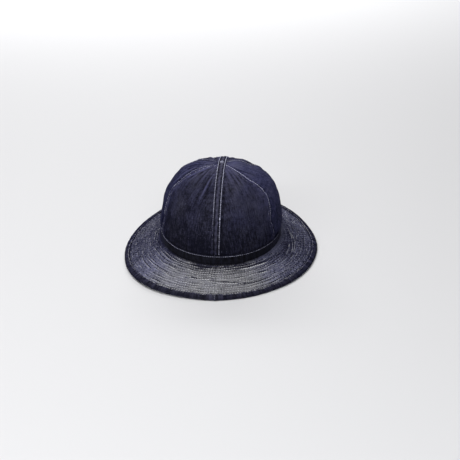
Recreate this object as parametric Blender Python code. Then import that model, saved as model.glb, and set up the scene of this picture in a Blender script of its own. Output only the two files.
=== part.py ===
"""Denim army hat, standing by itself on its brim on a level surface.

Six sewn crown panels meet under a felled seam that runs over the top from front to back.
A narrow band covers the joint between the crown and the quilted brim, and the brim is two
half rings, joined at the front and the back, with a binding folded over their outer edge.
Metres, +Z up. The front of the hat points to -Y and the wearer's left is +X.
"""

import math
from itertools import combinations

import bmesh
import bpy
import numpy as np
from mathutils import Vector

MM = 0.001
FULL_TURN = 2 * math.pi

# Crown, on the outer face of its panels. The fullness values are exponents: 2 is an ellipse
# and more is boxier. The front and back of the dome are rounder than its sides.
CROWN_HALF_WIDTH = 84.0 * MM
CROWN_HALF_LENGTH = 101.0 * MM
CROWN_HEIGHT = 103.5 * MM
END_FULLNESS = 1.83
SIDE_FULLNESS = 3.41
TOP_ROUNDNESS = 2.32
PANEL_WALL = 1.2 * MM
PANEL_PUFF = 1.5 * MM
LAP_WIDTH = 6.0 * MM
LAP_STEP = 1.0 * MM
LAP_RISE = 0.6 * MM
LAP_MOST_SHARE = 0.3
TIP_RADIUS = 3.0 * MM

# Seams of the crown, as angles from the front towards the wearer's left
FRONT_SEAM = 0.0
FORE_SEAM = math.radians(62)
AFT_SEAM = math.radians(118)
BACK_SEAM = math.pi

# Felled seam over the top. Its middle lies a little to the left of the join that it covers.
FELL_WIDTH = 11.0 * MM
FELL_SHIFT = 1.2 * MM
FELL_WALL = 1.0 * MM

# Band round the foot of the crown
BAND_HEIGHT = 12.5 * MM
BAND_WALL = 1.0 * MM

# Brim and the binding on its edge
BRIM_WIDTH = 54.6 * MM
BRIM_WALL = 2.4 * MM
BRIM_DROP = 19.9 * MM
BRIM_BOW_SHARE = 0.12
BINDING_WIDTH = 5.0 * MM
BINDING_WALL = 0.9 * MM
BINDING_LAP_LENGTH = 8.0 * MM
BINDING_LAP_RISE = 0.5 * MM

# What touches keeps this gap. The soft edge is pressed flat this far where it rests.
GAP = 0.3 * MM
PRESSED = 0.5 * MM

# How the brim's edge rises and falls around the hat, and how the brim's width varies, as it does
# on a hat cut and sewn by hand. Lobes is how many low or wide places a wave has, share is its
# height as a share of BRIM_DROP or BRIM_WIDTH, and the angle is that of one of the places.
DROP_WAVES = [
    # lobes, share, lowest
    (1, 0.195, math.radians(-40)),
    (2, 0.188, math.radians(88)),
    (3, 0.107, math.radians(6)),
]
WIDTH_WAVES = [
    # lobes, share, widest
    (1, 0.032, math.radians(-88)),
    (2, 0.025, math.radians(-45)),
    (3, 0.0125, math.radians(-47)),
]

# Soft hollows (rise below zero) and swells of the crown. Climb runs from 0 at the foot to 1 at
# the top, and rise is a share of CROWN_HEIGHT.
CROWN_FOLDS = [
    # angle, climb, angle spread, climb spread, rise
    (math.radians(-24), 0.60, math.radians(7), 0.17, -0.016),
    (math.radians(-40), 0.55, math.radians(9), 0.22, 0.010),
    (math.radians(-88), 0.72, math.radians(26), 0.13, 0.020),
    (math.radians(-80), 0.36, math.radians(22), 0.14, -0.010),
    (math.radians(-90), 0.52, math.radians(14), 0.09, -0.018),
    (math.radians(-108), 0.69, math.radians(11), 0.08, -0.015),
    (math.radians(30), 0.62, math.radians(10), 0.20, 0.012),
    (math.radians(88), 0.70, math.radians(28), 0.11, -0.016),
    (math.radians(84), 0.44, math.radians(24), 0.10, 0.012),
    (math.radians(121), 0.66, math.radians(12), 0.09, -0.020),
    (math.radians(150), 0.50, math.radians(12), 0.20, -0.014),
    (math.radians(-150), 0.58, math.radians(14), 0.18, -0.012),
]

# Grid sizes of the sheets
PANEL_COLUMNS = 9
PANEL_ROWS = 12
FELL_COLUMNS = 2
FELL_ROWS = 44
ROUND_COLUMNS = 80
BAND_ROWS = 2
BRIM_ROWS = 8
BINDING_ROWS = 8
BINDING_LEG_ROWS = 2

# A small step for slopes, the least area of a resting triangle and the distance for merging
STEP = 1e-3
LEAST_AREA = 1e-8
MERGE_DISTANCE = 1e-6
SHARP_ANGLE = math.radians(35)

DENIM = (0.017, 0.018, 0.045, 1.0)
QUILTED_DENIM = (0.10, 0.10, 0.14, 1.0)
DENIM_ROUGHNESS = 0.9


def clear_scene():
    for obj in list(bpy.data.objects):
        bpy.data.objects.remove(obj)


def cloth(name, color):
    material = bpy.data.materials.new(name)
    material.use_nodes = True
    shader = material.node_tree.nodes["Principled BSDF"]
    shader.inputs["Base Color"].default_value = color
    shader.inputs["Roughness"].default_value = DENIM_ROUGHNESS
    shader.inputs["Metallic"].default_value = 0.0
    return material


def turn_between(angle, other):
    """The smaller turn from one angle to another, either way."""
    return (angle - other + math.pi) % FULL_TURN - math.pi


def panel_share(angle):
    """0 on a seam and 1 in the middle of a panel."""
    turn = abs(turn_between(angle, FRONT_SEAM))
    seams = (FRONT_SEAM, FORE_SEAM, AFT_SEAM, BACK_SEAM)
    for low, high in zip(seams, seams[1:]):
        if turn <= high:
            return math.sin(math.pi * (turn - low) / (high - low)) ** 2
    return 0.0


def crown_relief(angle, climb):
    """How far the cloth stands off the plain dome: panels puff between seams, and folds."""
    rise = PANEL_PUFF * panel_share(angle) * math.sin(math.pi * climb)
    for fold_angle, fold_climb, angle_spread, climb_spread, fold_rise in CROWN_FOLDS:
        around = turn_between(angle, fold_angle) / angle_spread
        up = (climb - fold_climb) / climb_spread
        rise += CROWN_HEIGHT * fold_rise * math.exp(-(around**2) - up**2)
    return rise


def dome(angle, climb):
    """A point of the plain dome at an angle from the front and a climb from foot to top."""
    fullness = END_FULLNESS + (SIDE_FULLNESS - END_FULLNESS) * math.sin(angle) ** 2
    height = 1 - (1 - climb) ** TOP_ROUNDNESS
    reach = (1 - height**fullness) ** (1 / TOP_ROUNDNESS)
    return Vector((
        CROWN_HALF_WIDTH * math.sin(angle) * reach,
        -CROWN_HALF_LENGTH * math.cos(angle) * reach,
        CROWN_HEIGHT * height,
    ))


def dome_normal(angle, climb):
    around = dome(angle + STEP, climb) - dome(angle - STEP, climb)
    up = dome(angle, min(climb + STEP, 1.0)) - dome(angle, max(climb - STEP, 0.0))
    return around.cross(up).normalized()


def crown_point(angle, climb, lift):
    rise = crown_relief(angle, climb) + lift
    return dome(angle, climb) + dome_normal(angle, climb) * rise


def climb_at_height(height, angle):
    """The climb at which the dome reaches a height above its foot."""
    return 1 - (1 - height / CROWN_HEIGHT) ** (1 / TOP_ROUNDNESS)


def tip_climb():
    """The climb where the pieces of the crown end, TIP_RADIUS from the top."""
    low, high = 0.5, 1.0
    while high - low > STEP:
        middle = (low + high) / 2
        if dome(FORE_SEAM, middle).xy.length > TIP_RADIUS:
            low = middle
        else:
            high = middle
    return low


def arc_per_turn(angle, climb):
    """Metres along the dome for each radian of angle."""
    return (dome(angle + STEP, climb) - dome(angle - STEP, climb)).length / (2 * STEP)


def panel_places(first, last, lap_at_first, lap_at_last):
    """Returns the place function of one crown panel between two seams."""
    foot = climb_at_height(GAP, first)
    tip = tip_climb()
    plain = PANEL_COLUMNS - 2 * (lap_at_first + lap_at_last)

    def place(across, up):
        climb = foot + (tip - foot) * up
        start = first + GAP / 2 / arc_per_turn(first, climb)
        end = last - GAP / 2 / arc_per_turn(last, climb)
        width = (end - start) * arc_per_turn((start + end) / 2, climb)
        lap = min(LAP_WIDTH / width, LAP_MOST_SHARE)
        step = min(LAP_STEP / width, LAP_MOST_SHARE / 2)
        column = round(across * PANEL_COLUMNS)
        lead = [0.0, lap] if lap_at_first else []
        tail = [1 - lap, 1.0] if lap_at_last else []
        low = lap + step if lap_at_first else 0.0
        high = 1 - lap - step if lap_at_last else 1.0
        middle = [low + (high - low) * i / plain for i in range(plain + 1)]
        share = (lead + middle + tail)[column]
        on_lap = column < len(lead) or column > PANEL_COLUMNS - len(tail)
        return crown_point(start + (end - start) * share, climb, LAP_RISE * on_lap)

    return place


def fell_place(across, along):
    """The felled seam, from the band at the front over the top to the band at the back."""
    lowest = climb_at_height(BAND_HEIGHT + 2 * GAP, FRONT_SEAM)
    way = (2 * along - 1) * (1 - lowest)

    def spot(at):
        return FRONT_SEAM if at < 0 else BACK_SEAM, 1 - abs(at)

    seam, climb = spot(way)
    tangent = dome(*spot(way + STEP)) - dome(*spot(way - STEP))
    normal = Vector((1, 0, 0)).cross(tangent).normalized()
    side = FELL_SHIFT + FELL_WIDTH * (across - 0.5)
    bend_radius = CROWN_HALF_WIDTH**2 / CROWN_HALF_LENGTH
    sag = side**2 / (2 * bend_radius) * (1 - climb)
    point = dome(seam, climb) + Vector((side, 0, 0))
    angle = math.atan2(point.x / CROWN_HALF_WIDTH, -point.y / CROWN_HALF_LENGTH)
    lift = crown_relief(angle, climb) + LAP_RISE * climb**4 + GAP + FELL_WALL - sag
    return point + normal * lift


def band_place(across, up):
    angle = FULL_TURN * across
    height = GAP + (BAND_HEIGHT - GAP) * up
    climb = climb_at_height(height, angle)
    return crown_point(angle, climb, LAP_RISE + GAP + BAND_WALL)


def foot_oval(angle):
    """A point on the crown's foot and the level direction that points straight out there."""
    outward = Vector((
        math.sin(angle) / CROWN_HALF_WIDTH,
        -math.cos(angle) / CROWN_HALF_LENGTH,
        0.0,
    ))
    return dome(angle, 0.0), outward.normalized()


def varied(length, waves, angle):
    """A length that rises and falls round the hat by the waves of a table."""
    return length * (1 + sum(share * math.cos(lobes * (angle - top)) for lobes, share, top in waves))


def brim_drop(angle):
    return varied(BRIM_DROP, DROP_WAVES, angle)


def brim_reach(angle):
    """How far out the brim's edge is, measured level from the crown's foot."""
    return math.sqrt(varied(BRIM_WIDTH, WIDTH_WAVES, angle) ** 2 - brim_drop(angle) ** 2)


def brim_top(angle, out):
    """A point on the brim's upper face, at a level distance out from the crown's foot."""
    foot, outward = foot_oval(angle)
    share = max(out, 0.0) / brim_reach(angle)
    fall = brim_drop(angle) * share * (1 + BRIM_BOW_SHARE * (1 - share))
    return foot + outward * out - Vector((0, 0, fall))


def brim_normal(angle, out):
    along = brim_top(angle + STEP, out) - brim_top(angle - STEP, out)
    inward = brim_top(angle, out - STEP) - brim_top(angle, out + STEP)
    return along.cross(inward).normalized()


def brim_half_place(first, last):
    """Returns the place function of one half ring of the brim between its two joins."""

    def place(across, inward):
        turn = GAP / 2 / arc_per_turn(first, 0.0)
        angle = first + turn + (last - first - 2 * turn) * across
        reach = brim_reach(angle)
        return brim_top(angle, reach - (reach + PANEL_WALL) * inward)

    return place


def binding_point(angle, row):
    """The outer face of the binding: under leg, round edge, upper leg."""
    reach = brim_reach(angle)
    half = BRIM_WALL / 2 + GAP + PRESSED + BINDING_WALL
    normal = brim_normal(angle, reach)
    outward = (brim_top(angle, reach) - brim_top(angle, reach - BINDING_WIDTH)).normalized()
    away = abs(turn_between(angle, FRONT_SEAM)) * arc_per_turn(FRONT_SEAM, 0.0)
    half += BINDING_LAP_RISE * (away < BINDING_LAP_LENGTH / 2)
    last_leg_row = BINDING_ROWS - BINDING_LEG_ROWS
    if row < BINDING_LEG_ROWS:
        back = BINDING_WIDTH * (1 - row / BINDING_LEG_ROWS)
        lift = -BRIM_WALL / 2 - half
    elif row > last_leg_row:
        back = BINDING_WIDTH * (row - last_leg_row) / BINDING_LEG_ROWS
        lift = half - BRIM_WALL / 2
    else:
        turn = math.pi * (row - BINDING_LEG_ROWS) / (last_leg_row - BINDING_LEG_ROWS)
        middle = brim_top(angle, reach) - normal * BRIM_WALL / 2
        return middle + (outward * math.sin(turn) - normal * math.cos(turn)) * half
    return brim_top(angle, reach - back) + brim_normal(angle, reach - back) * lift


def binding_place(across, around):
    return binding_point(FULL_TURN * across, round(around * BINDING_ROWS))


def resting_plane(points):
    """Slopes and height of the level surface under a stiff body with these low points.

    It touches three of them, has the others above it, and the body's middle, x = y = 0,
    lies between the three.
    """
    for three in combinations(range(len(points)), 3):
        corners = points[list(three)]
        rows = np.column_stack([corners[:, :2], np.ones(3)])
        if abs(np.linalg.det(rows)) < LEAST_AREA:
            continue
        plane = np.linalg.solve(rows, corners[:, 2])
        above = points[:, 2] - points[:, :2] @ plane[:2] - plane[2]
        shares = np.linalg.solve(rows.T, np.array([0.0, 0.0, 1.0]))
        if above.min() > -MERGE_DISTANCE and shares.min() >= 0:
            return plane
    return np.zeros(3)


def edge_points():
    rows = range(BINDING_ROWS + 1)
    turns = [FULL_TURN * column / ROUND_COLUMNS for column in range(ROUND_COLUMNS)]
    return [binding_point(turn, row) for turn in turns for row in rows]


def rest_pose():
    """The turn and shift that set the hat down, with its box centred on the origin."""
    edge = edge_points()
    rows = BINDING_ROWS + 1
    lowest = [min(edge[i : i + rows], key=lambda p: p.z) for i in range(0, len(edge), rows)]
    slope_x, slope_y, _ = resting_plane(np.array(lowest))
    upright = Vector((-slope_x, -slope_y, 1.0)).normalized()
    turn = upright.rotation_difference(Vector((0, 0, 1)))
    turned = np.array([turn @ point for point in edge])
    low, high = turned.min(0), turned.max(0)
    middle = (low + high) / 2
    return turn, Vector((-middle[0], -middle[1], -low[2] - PRESSED))


def sheet(name, place, columns, rows, wall, material, closed=False):
    """A cloth piece: a grid laid out by place(), which gives its outer face, and its wall."""
    grid = bmesh.new()
    bmesh.ops.create_grid(grid, x_segments=columns, y_segments=rows, size=0.5)
    turn, shift = REST
    for vert in grid.verts:
        point = turn @ place(vert.co.x + 0.5, vert.co.y + 0.5) + shift
        vert.co = (point.x, point.y, max(point.z, 0.0))
    if closed:
        bmesh.ops.remove_doubles(grid, verts=grid.verts, dist=MERGE_DISTANCE)
    mesh = bpy.data.meshes.new(name)
    grid.to_mesh(mesh)
    grid.free()
    mesh.shade_smooth()
    mesh.set_sharp_from_angle(angle=SHARP_ANGLE)
    mesh.materials.append(material)
    obj = bpy.data.objects.new(name, mesh)
    bpy.context.scene.collection.objects.link(obj)
    solidify = obj.modifiers.new("wall", "SOLIDIFY")
    solidify.thickness = wall
    solidify.offset = -1.0
    solidify.use_even_offset = True
    return obj


def make_crown(material):
    """Six panels. The front and back ones lap over the side ones and are stitched down."""
    panels = [
        ("crown_front_left", FRONT_SEAM, FORE_SEAM, False, True),
        ("crown_side_left", FORE_SEAM, AFT_SEAM, False, False),
        ("crown_back_left", AFT_SEAM, BACK_SEAM, True, False),
        ("crown_back_right", -BACK_SEAM, -AFT_SEAM, False, True),
        ("crown_side_right", -AFT_SEAM, -FORE_SEAM, False, False),
        ("crown_front_right", -FORE_SEAM, FRONT_SEAM, True, False),
    ]
    for name, first, last, lap_at_first, lap_at_last in panels:
        place = panel_places(first, last, lap_at_first, lap_at_last)
        sheet(name, place, PANEL_COLUMNS, PANEL_ROWS, PANEL_WALL, material)


def make_fell(material):
    sheet("centre_seam", fell_place, FELL_COLUMNS, FELL_ROWS, FELL_WALL, material)


def make_band(material):
    sheet("band", band_place, ROUND_COLUMNS, BAND_ROWS, BAND_WALL, material, closed=True)


def make_brim(material):
    for name, first, last in (
        ("brim_left", FRONT_SEAM, BACK_SEAM),
        ("brim_right", -BACK_SEAM, FRONT_SEAM),
    ):
        place = brim_half_place(first, last)
        sheet(name, place, ROUND_COLUMNS // 2, BRIM_ROWS, BRIM_WALL, material)


def make_binding(material):
    sheet(
        "brim_binding",
        binding_place,
        ROUND_COLUMNS,
        BINDING_ROWS,
        BINDING_WALL,
        material,
        closed=True,
    )


clear_scene()
REST = rest_pose()
denim = cloth("denim", DENIM)
quilted_denim = cloth("quilted_denim", QUILTED_DENIM)
make_crown(denim)
make_fell(denim)
make_band(denim)
make_brim(quilted_denim)
make_binding(denim)
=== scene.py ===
# %% [markdown]
# # A hat of stitched denim
# The hat is sewn from stiff indigo denim. Six panels make a deep round crown, a felled seam
# runs over the top, a narrow band hides the joint, and the brim gets its body from rows and
# rows of pale stitching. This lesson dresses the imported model, piece by piece.

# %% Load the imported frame
import math

import bmesh
import bpy
import numpy as np
from mathutils import Matrix, Vector


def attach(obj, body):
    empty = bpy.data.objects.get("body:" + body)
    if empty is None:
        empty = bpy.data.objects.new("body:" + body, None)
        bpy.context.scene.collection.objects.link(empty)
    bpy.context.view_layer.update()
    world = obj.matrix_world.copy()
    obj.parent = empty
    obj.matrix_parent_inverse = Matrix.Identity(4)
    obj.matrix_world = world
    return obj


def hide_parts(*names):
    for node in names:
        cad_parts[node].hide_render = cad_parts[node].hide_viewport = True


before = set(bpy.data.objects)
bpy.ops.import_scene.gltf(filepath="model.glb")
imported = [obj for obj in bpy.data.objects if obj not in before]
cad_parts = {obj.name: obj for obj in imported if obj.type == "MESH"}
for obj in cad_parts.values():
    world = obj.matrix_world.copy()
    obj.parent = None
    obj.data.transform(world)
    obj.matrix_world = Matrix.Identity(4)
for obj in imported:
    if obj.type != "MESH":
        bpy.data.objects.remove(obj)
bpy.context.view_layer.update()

print("packed nodes:", ", ".join(sorted(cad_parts)))

# %% [markdown]
# ## Sizes
# Lengths are in metres, so `MM` keeps them readable. The hat's own frame has its origin in the
# middle of the crown's foot, the front towards -Y and the wearer's left towards +X. Angles run
# from the front towards the left, and climb runs from 0 at the foot of the crown to 1 on top.

# %% Named sizes
MM = 0.001
TURN = 2 * math.pi

HALF_WIDTH, HALF_LENGTH, HEIGHT = 84.0 * MM, 101.0 * MM, 103.5 * MM
END_FULLNESS, SIDE_FULLNESS, TOP_ROUNDNESS = 1.83, 3.41, 2.32
PANEL_WALL = 1.2 * MM
CLEARANCE = 0.2 * MM
# Metres of cloth from the foot of a panel to its tip, as the weave and the puckers count them
WEAVE_LENGTH, PUCKER_LENGTH = 165 * MM, 170 * MM

BAND_HEIGHT, BAND_WALL = 12.5 * MM, 0.9 * MM
BRIM_WIDTH, BRIM_WALL, BRIM_DROP, BRIM_BOW_SHARE = 54.6 * MM, 2.4 * MM, 19.9 * MM, 0.12
BINDING_WALL = 0.9 * MM

print("head size about", round(math.pi * (HALF_WIDTH + HALF_LENGTH - 2 * PANEL_WALL) * 100), "cm")

# %% [markdown]
# ## How the hat lies
# The hat rests on the low places of its brim, so it leans by a degree or two. Every piece
# is worked out upright in the hat's frame and then leaned and lifted by the same two values.

# %% Lean and lift
upright = Vector((0.0239, -0.0131, 1.0)).normalized()
LEAN = np.array(upright.rotation_difference(Vector((0, 0, 1))).inverted().to_matrix())
FOOT = np.array((0.60, -2.23, 26.99)) * MM


def laid(points):
    """Points of the hat's frame, leaned and lifted to where the hat rests."""
    return points @ LEAN.T + FOOT


print("the crown's foot stands", round(FOOT[2] / MM, 1), "mm above the floor")

# %% [markdown]
# ## Small helpers for arrays
# NumPy works on all the points of a piece at once. `smooth` is a soft step, and `ripples` adds
# sine waves of about one size in random but repeatable directions, which looks like cloth that
# has been handled. `ring_ripples` does the same round a ring, so its ends meet. `read_table`
# reads between the rows of a table, and `raised` moves points out along their normals.

# %% Helpers
SLOPE_STEP, RIPPLE_COUNT = 1e-4, 14


def unit(vectors):
    return vectors / np.maximum(np.linalg.norm(vectors, axis=-1, keepdims=True), 1e-12)


def smooth(low, high, value):
    share = np.clip((value - low) / (high - low), 0, 1)
    return share * share * (3 - 2 * share)


def bell(value, middle, spread):
    return np.exp(-(((value - middle) / spread) ** 2))


def ripples(seed, size, *places):
    rng = np.random.default_rng(seed)
    total = 0.0
    for _ in range(RIPPLE_COUNT):
        way = rng.normal(size=len(places))
        way /= np.linalg.norm(way)
        length = size * 2 ** rng.uniform(-0.5, 0.5)
        along = sum(share * place for share, place in zip(way, places))
        total += np.sin(TURN * along / length + rng.uniform(0, TURN))
    return total * math.sqrt(2 / RIPPLE_COUNT)


def ring_ripples(seed, waves, angle, row=0.0, count=10):
    rng = np.random.default_rng(seed)
    total = 0.0
    for _ in range(count):
        lobes = round(waves * 2 ** rng.uniform(-0.5, 0.5))
        shift, jump = rng.uniform(0, TURN, 2)
        total += np.sin(lobes * angle + shift + jump * 7 * row)
    return total * math.sqrt(2 / count)


def turn_between(angle, other):
    return (angle - other + math.pi) % TURN - math.pi


def whole_turn(count):
    return np.linspace(-math.pi, math.pi, count)


def read_table(table, place, column=1, **wrap):
    """Reads a column of a table, whose first column gives the places."""
    return np.interp(place, [row[0] for row in table], [row[column] for row in table], **wrap)


def read_round(table, angle, ease, column=1):
    """The same for places in degrees round the hat, eased over a few degrees."""
    turns = [np.degrees(angle) + shift for shift in (-ease, 0, ease)]
    return sum(read_table(table, turn, column, period=360) for turn in turns) / 3


def slopes_to_normal(place, first, second):
    """The outward normal of a surface given as a function of two values."""
    across = place(first + SLOPE_STEP, second) - place(first - SLOPE_STEP, second)
    up = place(first, second + SLOPE_STEP) - place(first, second - SLOPE_STEP)
    return unit(np.cross(across, up))


def raised(points, normal, rise):
    return points + normal * rise[..., None], normal


print("ripples of size 1 stay within", round(float(np.abs(ripples(1, 1.0, np.arange(99.0))).max()), 1))

# %% [markdown]
# ## The plain dome
# The crown is a superellipse: boxy seen from the front, rounder seen from the side. One
# function of angle and climb gives every point, and all the pieces of the crown build on it.


# %% The dome
def fullness_at(angle):
    return END_FULLNESS + (SIDE_FULLNESS - END_FULLNESS) * np.sin(angle) ** 2


def dome(angle, climb):
    height = 1 - (1 - np.clip(climb, 0, 1)) ** TOP_ROUNDNESS
    reach = np.maximum(1 - height ** fullness_at(angle), 0) ** (1 / TOP_ROUNDNESS)
    x = HALF_WIDTH * np.sin(angle) * reach
    y = -HALF_LENGTH * np.cos(angle) * reach
    return np.stack([x, y, HEIGHT * height], -1)


def angle_of(x, y):
    return np.arctan2(x / HALF_WIDTH, -y / HALF_LENGTH)


def climb_at(height):
    return 1 - (1 - np.clip(height / HEIGHT, 0, 1)) ** (1 / TOP_ROUNDNESS)


def span_per_turn(angle, climb):
    """Metres along the dome for each radian of angle."""
    step = dome(angle + SLOPE_STEP, climb) - dome(angle - SLOPE_STEP, climb)
    return np.linalg.norm(step, axis=-1) / (2 * SLOPE_STEP)


print("at climb 0.5 the dome is", round(float(dome(0.0, 0.5)[2]) / MM), "mm high")

# %% [markdown]
# ## Where the seams run
# A hand-sewn crown is never quite even. The table gives the angle of each side seam at ten
# climbs. NumPy reads between them, and a short average rounds the corners off, so that the
# seam runs in one easy curve. The seams over the front and the back stay straight.

# %% Seams
SEAM_TABLE = [
    # climb, fore left, aft left, aft right, fore right, in degrees
    (0.00, 65.5, 118.0, -117.0, -64.0),
    (0.10, 63.6, 118.5, -117.5, -64.0),
    (0.20, 61.0, 119.5, -117.5, -65.0),
    (0.30, 64.5, 119.5, -117.0, -68.0),
    (0.42, 65.5, 119.0, -116.0, -70.5),
    (0.53, 63.5, 119.0, -115.5, -69.5),
    (0.65, 58.5, 120.0, -116.5, -67.0),
    (0.78, 57.5, 121.5, -118.0, -66.5),
    (0.90, 56.0, 121.0, -120.0, -68.0),
    (1.00, 56.0, 120.0, -120.0, -70.0),
]
FORE_LEFT, AFT_LEFT, AFT_RIGHT, FORE_RIGHT = SIDE_SEAMS = (1, 2, 3, 4)
LAPPING_SIDE = {FORE_LEFT: -1, AFT_LEFT: 1, AFT_RIGHT: -1, FORE_RIGHT: 1}
PANEL_EDGES = (-math.pi, AFT_RIGHT, FORE_RIGHT, 0.0, FORE_LEFT, AFT_LEFT, math.pi)
SEAM_CLIMBS = np.linspace(0, 1, 201)
EASING = np.hanning(23)[1:-1] / np.hanning(23).sum()


def eased_column(column):
    angles = read_table(SEAM_TABLE, SEAM_CLIMBS, column)
    return np.convolve(np.pad(angles, len(EASING) // 2, mode="edge"), EASING, mode="valid")


SEAM_CURVES = {which: eased_column(which) for which in SIDE_SEAMS}


def seam_angle(which, climb):
    return np.radians(np.interp(climb, SEAM_CLIMBS, SEAM_CURVES[which]))


def edge_angle(edge, climb):
    """The angle of a panel's edge, which is a side seam's number or a straight seam's angle."""
    return seam_angle(edge, climb) if isinstance(edge, int) else edge + 0 * climb


def from_seam(which, angle, climb):
    """Metres from a side seam along the cloth, positive on the lapping side."""
    turn = turn_between(angle, seam_angle(which, climb))
    return LAPPING_SIDE[which] * turn * span_per_turn(angle, climb)


print("side seams meet the band at", SEAM_TABLE[0][1:], "degrees")

# %% [markdown]
# ## Relief of the crown
# Cloth tells how it was sewn. Panels puff a little between the seams, stitching draws the edges
# into small puckers, fullness gathers at the tip, and the foot blouses over the band. Each is
# a short line that adds metres along the normal. One table holds the broad swells and hollows,
# and a second one the creases, which run straight between two places on the crown. A third one
# holds lines that don't rise: pale ones where creases are rubbed and lit, and dark ones of
# painted crease shade.

# %% Swells and creases
FOLDS = [
    # angle, climb, angle spread, climb spread (degrees and shares), rise in mm
    (-88, 0.72, 26.0, 0.13, 2.0),
    (-80, 0.36, 22.0, 0.14, -1.0),
    (-90, 0.52, 14.0, 0.09, -1.9),
    (-108, 0.69, 11.0, 0.08, -1.6),
    (-72, 0.56, 5.0, 0.12, -0.7),
    (30, 0.62, 10.0, 0.20, 1.2),
    (88, 0.70, 28.0, 0.11, -1.6),
    (84, 0.44, 24.0, 0.10, 1.2),
    (121, 0.66, 12.0, 0.09, -2.1),
    (82, 0.66, 5.0, 0.16, -0.8),
    (97, 0.66, 5.0, 0.14, 0.7),
    (150, 0.50, 12.0, 0.20, -1.4),
    (-150, 0.58, 14.0, 0.18, -1.2),
    (127, 0.62, 9.0, 0.06, -1.7),
    (-122, 0.62, 7.0, 0.05, -1.2),
    (-104, 0.555, 6.0, 0.04, 1.2),
    (-91, 0.41, 10.0, 0.06, -1.3),
    (-84, 0.20, 14.0, 0.06, -1.1),
]
CREASES = [
    # angle and climb of the upper end, of the lower end, width and rise in mm
    (-15, 0.80, -22, 0.42, 0.9, 0.75),
    (-19, 0.82, -26, 0.46, 2.4, -0.7),
    (-33, 0.90, -29, 0.56, 1.4, 0.35),
    (-38, 0.88, -36, 0.54, 1.6, -0.3),
    (-45, 0.86, -41, 0.58, 1.4, 0.35),
    (-50, 0.86, -52, 0.60, 1.1, 0.5),
    (-102, 0.90, -107, 0.56, 1.3, 0.6),
    (-73, 0.78, -77, 0.44, 1.3, 0.5),
    (-55, 0.74, -50, 0.44, 1.3, 0.35),
    (-47, 0.92, -60, 0.62, 1.3, 0.7),
    (-40, 0.90, -55, 0.62, 1.8, -0.35),
    (20, 0.82, 31, 0.52, 1.3, 0.3),
    (14, 0.80, 20, 0.52, 1.6, -0.35),
    (31, 0.86, 36, 0.44, 1.8, -0.45),
    (44, 0.86, 44, 0.52, 1.5, 0.3),
    (27, 0.58, 34, 0.36, 1.4, 0.3),
    (48, 0.84, 52, 0.50, 1.6, -0.35),
    (164, 0.86, 160, 0.44, 1.6, 0.6),
    (170, 0.84, 168, 0.48, 1.8, -0.6),
    (-166, 0.84, -160, 0.42, 1.6, 0.5),
    (-150, 0.84, -145, 0.50, 1.8, 0.5),
    (-158, 0.84, -152, 0.46, 2.0, -0.6),
    (140, 0.86, 146, 0.50, 1.6, 0.4),
    (100, 0.88, 92, 0.50, 1.8, -0.4),
    (59, 0.88, 74, 0.66, 2.0, -0.7),
    (124, 0.91, 110, 0.75, 1.3, 0.6),
    (-92, 0.88, -84, 0.46, 1.7, 0.4),
]
PALE_AND_SHADED_LINES = [
    # the same ends and width, then how much paler the cloth is painted there, below zero how dark the
    # painted crease shade is
    (60, 0.92, 78, 0.62, 2.6, -0.26),
    (72, 0.94, 92, 0.70, 1.6, 0.20),
    (84, 0.95, 100, 0.76, 2.0, -0.20),
    (98, 0.95, 108, 0.80, 1.4, 0.24),
    (112, 0.94, 113, 0.82, 1.8, -0.16),
]


def along_lines(lines, angle, climb):
    """What the straight lines of a table add at a place."""
    span, total = span_per_turn(angle, climb), 0.0
    for top, top_climb, low, low_climb, wide, most in lines:
        share = (climb - low_climb) / (top_climb - low_climb)
        line = np.radians(low + (top - low) * share)
        ends = smooth(-0.2, 0.3, share) * (1 - smooth(0.7, 1.1, share))
        total += most * ends * bell(turn_between(angle, line) * span, 0, wide * MM)
    return total


def fold_rise(angle, climb):
    rise = along_lines(CREASES, angle, climb)
    for at, up, wide, tall, mm in FOLDS:
        around = turn_between(angle, math.radians(at)) / math.radians(wide)
        rise += mm * np.exp(-(around**2) - ((climb - up) / tall) ** 2)
    return rise * MM


# %% Relief
PANEL_PUFF, TIP_RISE = 1.5 * MM, 0.9 * MM
LAP_WIDTH, LAP_RISE, LAP_GROOVE = 7.0 * MM, 0.8 * MM, 0.25 * MM
LAP_ROWS = (1.4 * MM, 6.0 * MM)
FELL_MIDDLE, FELL_HALF = 1.2 * MM, 5.8 * MM
RIDGE_REACH = 3.2 * MM


def panel_share(angle, climb):
    """0 on every seam and 1 in the middle of each panel."""
    edges = [edge_angle(edge, climb) for edge in PANEL_EDGES]
    share = 0 * climb
    for low, high in zip(edges, edges[1:]):
        inside = (angle >= low) & (angle <= high)
        share = np.where(inside, np.sin(math.pi * (angle - low) / (high - low)) ** 2, share)
    return share


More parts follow.
